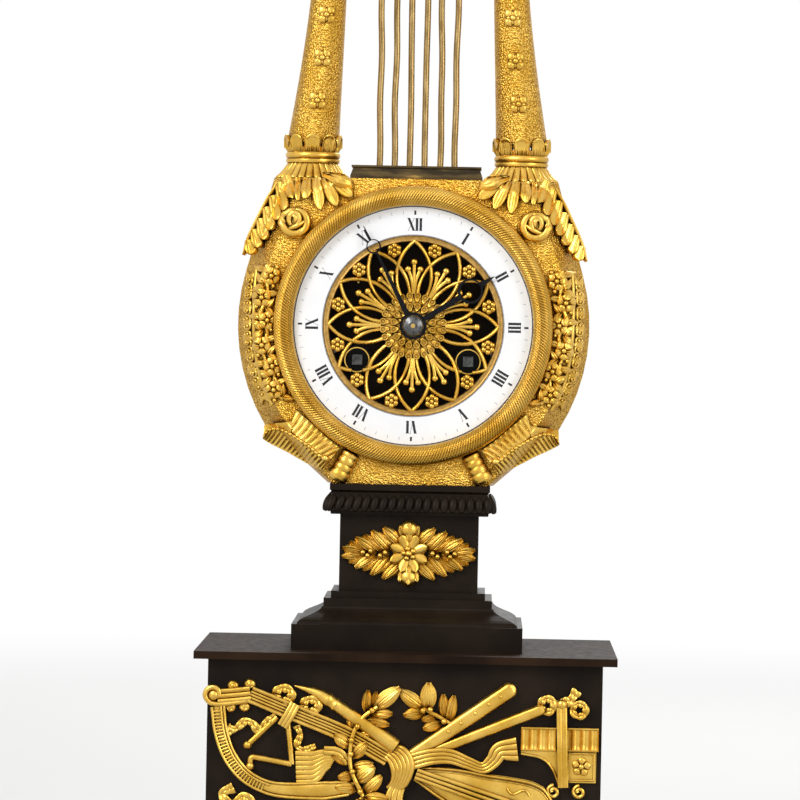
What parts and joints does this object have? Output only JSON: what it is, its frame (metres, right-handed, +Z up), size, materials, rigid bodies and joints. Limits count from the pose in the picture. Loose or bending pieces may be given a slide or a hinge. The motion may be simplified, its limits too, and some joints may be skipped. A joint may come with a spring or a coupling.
{
  "type": "lyre clock",
  "caption": "Gilt lyre mantel clock with a pierced dial, strings, striking movement and pendulum, on a dark stepped pedestal and a plinth with an applied trophy.",
  "frame": {"origin": "on the table under the middle of the plinth", "axes": "+Z up, the dial faces -Y, +X to the right seen from the front"},
  "size_m": [0.165, 0.118, 0.4307],
  "materials": {
    "gilt_bronze": "fire-gilt, matt with burnished high points",
    "patinated_bronze": "dark brown patina, waxed",
    "brass": "brushed",
    "dark_brass": "worn gilding, darkened",
    "steel": "polished steel",
    "black_steel": "blackened steel",
    "enamel": "white enamel, glossy"
  },
  "bodies": {
    "case": {"plinth_top_plate": "patinated_bronze", "plinth_front_panel": "patinated_bronze", "plinth_back_panel": "patinated_bronze", "plinth_side_panels": "patinated_bronze", "plinth_base": "patinated_bronze", "corner_posts": "brass", "feet": "gilt_bronze", "trophy_mount": "gilt_bronze", "pedestal_foot": "patinated_bronze", "pedestal_dado": "patinated_bronze", "pedestal_cornice": "patinated_bronze", "pedestal_mount": "gilt_bronze", "tie_rod": "steel", "case_nuts": "steel", "lyre_body": "gilt_bronze", "crest_block": "dark_brass", "strings": "brass", "lyre_arm_left": "gilt_bronze", "lyre_arm_right": "gilt_bronze", "arm_collars": "gilt_bronze", "arm_rosettes": "gilt_bronze", "crossbar": "gilt_bronze", "shoulder_mounts": "gilt_bronze", "lower_leaves": "gilt_bronze", "side_vines": "gilt_bronze", "bezel": "gilt_bronze", "dial_plate": "brass", "enamel_ring": "enamel", "dial_centre": "gilt_bronze", "front_plate": "brass", "back_plate": "brass", "movement_pillars": "brass", "movement_screws": "steel", "suspension_cock": "brass", "bell": "brass"},
    "minute_hand": {"minute_hand": "black_steel", "hand_nut": "steel", "cannon_pinion": "steel"},
    "hour_hand": {"hour_hand": "black_steel", "hour_wheel": "brass"},
    "minute_wheel": {"minute_wheel": "brass"},
    "escape_wheel": {"escape_wheel": "brass"},
    "third_wheel": {"third_wheel": "brass"},
    "centre_wheel": {"centre_wheel": "brass"},
    "intermediate_wheel": {"intermediate_wheel": "brass"},
    "going_barrel": {"going_barrel": "brass"},
    "going_arbor": {"going_arbor": "steel"},
    "going_click": {"going_click": "steel"},
    "strike_barrel": {"strike_barrel": "brass"},
    "strike_arbor": {"strike_arbor": "steel"},
    "strike_click": {"strike_click": "steel"},
    "strike_second_wheel": {"strike_second_wheel": "brass", "count_wheel": "brass"},
    "pin_wheel": {"pin_wheel": "brass"},
    "warning_wheel": {"warning_wheel": "brass"},
    "fly": {"fly": "brass"},
    "anchor": {"pallet_anchor": "steel"},
    "pendulum": {"pendulum": "brass"},
    "rating_nut": {"rating_nut": "brass"},
    "hammer": {"hammer": "steel"}
  },
  "joints": [
    {"name": "minute_hand_turn", "type": "hinge", "parent": "case", "child": "minute_hand", "pos_m": [0, 0, 0.2351], "axis": [0, 1, 0], "continuous": true},
    {"name": "hour_hand_turn", "type": "hinge", "parent": "case", "child": "hour_hand", "pos_m": [0, 0, 0.2351], "axis": [0, 1, 0], "continuous": true},
    {"name": "minute_wheel_turn", "type": "hinge", "parent": "case", "child": "minute_wheel", "pos_m": [0, 0, 0.2231], "axis": [0, 1, 0], "continuous": true},
    {"name": "escape_wheel_turn", "type": "hinge", "parent": "case", "child": "escape_wheel", "pos_m": [0, 0, 0.2561], "axis": [0, 1, 0], "continuous": true},
    {"name": "third_wheel_turn", "type": "hinge", "parent": "case", "child": "third_wheel", "pos_m": [-0.00963, 0, 0.24737], "axis": [0, 1, 0], "continuous": true},
    {"name": "centre_wheel_turn", "type": "hinge", "parent": "case", "child": "centre_wheel", "pos_m": [0, 0, 0.2351], "axis": [0, 1, 0], "continuous": true},
    {"name": "intermediate_wheel_turn", "type": "hinge", "parent": "case", "child": "intermediate_wheel", "pos_m": [0.01497, 0, 0.24075], "axis": [0, 1, 0], "continuous": true},
    {"name": "going_barrel_turn", "type": "hinge", "parent": "case", "child": "going_barrel", "pos_m": [0.022, 0, 0.2213], "axis": [0, 1, 0], "continuous": true},
    {"name": "going_winding", "type": "hinge", "parent": "case", "child": "going_arbor", "pos_m": [0.022, 0, 0.2213], "axis": [0, 1, 0], "continuous": true},
    {"name": "going_click_lift", "type": "hinge", "parent": "case", "child": "going_click", "pos_m": [0.03234, 0, 0.22506], "axis": [0, 1, 0], "range_deg": [0, 12]},
    {"name": "fly_turn", "type": "hinge", "parent": "case", "child": "fly", "pos_m": [-0.01652, 0, 0.26666], "axis": [0, 1, 0], "continuous": true},
    {"name": "warning_wheel_turn", "type": "hinge", "parent": "case", "child": "warning_wheel", "pos_m": [-0.01773, 0, 0.25981], "axis": [0, 1, 0], "continuous": true},
    {"name": "pin_wheel_turn", "type": "hinge", "parent": "case", "child": "pin_wheel", "pos_m": [-0.02223, 0, 0.25201], "axis": [0, 1, 0], "continuous": true},
    {"name": "strike_second_wheel_turn", "type": "hinge", "parent": "case", "child": "strike_second_wheel", "pos_m": [-0.02559, 0, 0.24167], "axis": [0, 1, 0], "continuous": true},
    {"name": "strike_barrel_turn", "type": "hinge", "parent": "case", "child": "strike_barrel", "pos_m": [-0.022, 0, 0.2213], "axis": [0, 1, 0], "continuous": true},
    {"name": "strike_winding", "type": "hinge", "parent": "case", "child": "strike_arbor", "pos_m": [-0.022, 0, 0.2213], "axis": [0, 1, 0], "continuous": true},
    {"name": "strike_click_lift", "type": "hinge", "parent": "case", "child": "strike_click", "pos_m": [-0.03234, 0, 0.22506], "axis": [0, 1, 0], "range_deg": [-12, 0]},
    {"name": "pendulum_swing", "type": "hinge", "parent": "case", "child": "pendulum", "pos_m": [0, 0, 0.2741], "axis": [0, 1, 0], "range_deg": [-4, 4]},
    {"name": "anchor_rock", "type": "hinge", "parent": "case", "child": "anchor", "pos_m": [0, 0, 0.2696], "axis": [0, 1, 0], "range_deg": [-5, 5]},
    {"name": "rating_nut_turn", "type": "hinge", "parent": "pendulum", "child": "rating_nut", "pos_m": [0, 0.017, 0.1841], "axis": [0, 0, 1], "range_deg": [-180, 180]},
    {"name": "hammer_strike", "type": "hinge", "parent": "case", "child": "hammer", "pos_m": [-0.03176, 0, 0.25751], "axis": [0, 1, 0], "range_deg": [0, 12]}
  ],
  "couplings": [
    {"joint": "minute_wheel_turn", "follows": "minute_hand_turn", "ratio": -0.33333},
    {"joint": "hour_hand_turn", "follows": "minute_hand_turn", "ratio": 0.083333},
    {"joint": "escape_wheel_turn", "follows": "centre_wheel_turn", "ratio": 144},
    {"joint": "third_wheel_turn", "follows": "centre_wheel_turn", "ratio": -12},
    {"joint": "intermediate_wheel_turn", "follows": "centre_wheel_turn", "ratio": -0.14286},
    {"joint": "going_barrel_turn", "follows": "centre_wheel_turn", "ratio": 0.018315},
    {"joint": "fly_turn", "follows": "strike_second_wheel_turn", "ratio": -375},
    {"joint": "warning_wheel_turn", "follows": "strike_second_wheel_turn", "ratio": 60},
    {"joint": "pin_wheel_turn", "follows": "strike_second_wheel_turn", "ratio": -7.5},
    {"joint": "strike_barrel_turn", "follows": "strike_second_wheel_turn", "ratio": -0.12821},
    {"joint": "anchor_rock", "follows": "pendulum_swing", "ratio": 1.2045}
  ]
}
